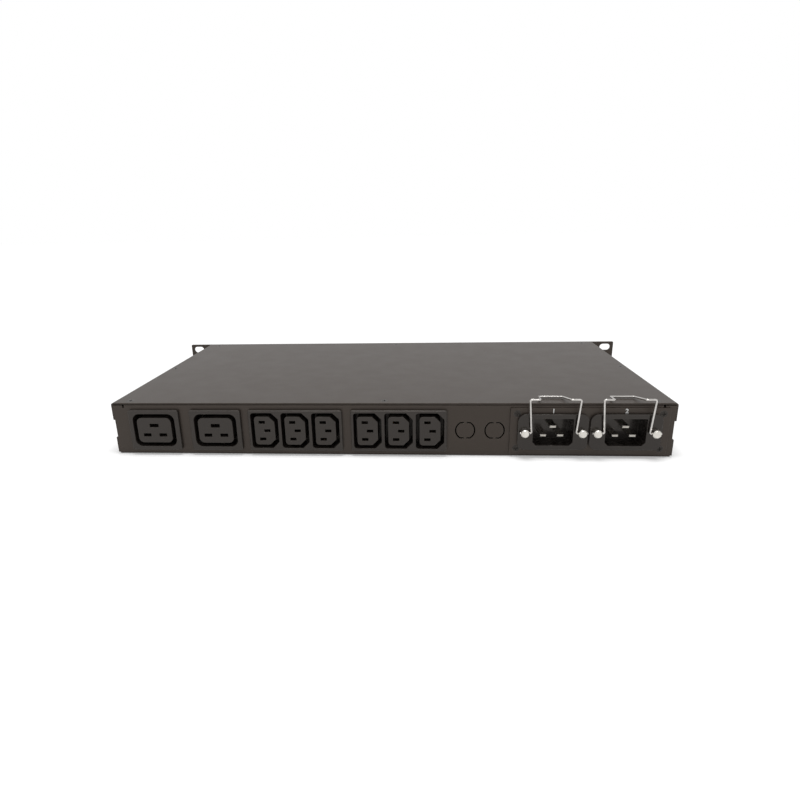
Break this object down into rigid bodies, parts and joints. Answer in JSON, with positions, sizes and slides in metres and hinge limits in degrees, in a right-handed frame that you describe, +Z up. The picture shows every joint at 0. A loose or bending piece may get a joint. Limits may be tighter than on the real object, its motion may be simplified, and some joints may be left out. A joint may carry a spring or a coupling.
{
  "type": "rack static transfer switch",
  "caption": "Flat rack unit that feeds its rear outlets from either of its mains inlets, with swinging wire plug retainers and rack ears.",
  "frame": {"origin": "centre of the four rack slots, on the back face of the ears", "axes": "+X right seen from the rear, +Y from the rear socket face to the front panel, +Z up"},
  "size_m": [0.4826, 0.2297, 0.0488],
  "materials": {
    "case_black": "matt black powder coat",
    "screw_black": "blackened steel",
    "socket_plastic": "satin moulded plastic",
    "inlet_plastic": "glossy moulded plastic",
    "contact_brass": "rolled brass",
    "blade_nickel": "nickel plated",
    "post_nickel": "nickel plated",
    "bail_steel": "bright drawn wire",
    "window_clear": "polished clear plastic",
    "display_grey": "display glass, switched off",
    "button_plastic": "matt moulded plastic",
    "lamp_clear": "milky clear plastic",
    "port_shell": "tinned steel",
    "board_green": "solder resist",
    "heatsink_aluminium": "natural extruded aluminium",
    "chip_black": "moulded epoxy",
    "relay_plastic": "moulded plastic",
    "coil_plastic": "moulded plastic",
    "capacitor_sleeve": "printed sleeve, left plain",
    "fuse_glass": "clear glass",
    "terminal_plastic": "moulded plastic"
  },
  "bodies": {
    "case": {"chassis_tray": "case_black", "top_cover": "case_black", "front_panel": "case_black", "inlet_plate": "case_black", "cover_screws": "screw_black", "panel_screws": "screw_black", "plate_screws": "screw_black", "c19_outlet_1": "socket_plastic", "c19_outlet_2": "socket_plastic", "c19_contacts": "contact_brass", "c13_bank_1": "socket_plastic", "c13_bank_2": "socket_plastic", "c13_contacts": "contact_brass", "c20_inlet_a": "inlet_plastic", "c20_inlet_b": "inlet_plastic", "inlet_blades_a": "blade_nickel", "inlet_blades_b": "blade_nickel", "bail_posts_a": "post_nickel", "bail_posts_b": "post_nickel", "post_nuts": "post_nickel", "display_window": "window_clear", "display_module": "display_grey", "status_lamps": "lamp_clear", "network_port": "port_shell", "front_board": "board_green", "control_board": "board_green", "power_board": "board_green", "board_standoffs": "post_nickel", "board_screws": "post_nickel", "heatsink": "heatsink_aluminium", "thyristor_modules": "chip_black", "module_screws": "post_nickel", "relays": "relay_plastic", "current_sensors": "coil_plastic", "supply_transformers": "coil_plastic", "capacitors": "capacitor_sleeve", "fuse_holders": "contact_brass", "fuses": "fuse_glass", "terminal_blocks": "terminal_plastic", "control_chips": "chip_black"},
    "bail_a": {"bail_a": "bail_steel"},
    "bail_b": {"bail_b": "bail_steel"},
    "button_menu": {"button_menu": "button_plastic"},
    "button_up": {"button_up": "button_plastic"},
    "button_down": {"button_down": "button_plastic"},
    "button_select": {"button_select": "button_plastic"}
  },
  "joints": [
    {"name": "bail_a_swing", "type": "hinge", "parent": "case", "child": "bail_a", "pos_m": [0.1283, -0.2238, -0.0004], "axis": [1, 0, 0], "range_deg": [0, 135]},
    {"name": "bail_b_swing", "type": "hinge", "parent": "case", "child": "bail_b", "pos_m": [0.1819, -0.2238, -0.0004], "axis": [1, 0, 0], "range_deg": [0, 135]},
    {"name": "button_menu_press", "type": "slide", "parent": "case", "child": "button_menu", "axis": [0, -1, 0], "range_m": [0, 0.001], "stiffness_N_per_m": 600, "springref_m": -0.001},
    {"name": "button_up_press", "type": "slide", "parent": "case", "child": "button_up", "axis": [0, -1, 0], "range_m": [0, 0.001], "stiffness_N_per_m": 600, "springref_m": -0.001},
    {"name": "button_down_press", "type": "slide", "parent": "case", "child": "button_down", "axis": [0, -1, 0], "range_m": [0, 0.001], "stiffness_N_per_m": 600, "springref_m": -0.001},
    {"name": "button_select_press", "type": "slide", "parent": "case", "child": "button_select", "axis": [0, -1, 0], "range_m": [0, 0.001], "stiffness_N_per_m": 600, "springref_m": -0.001}
  ]
}
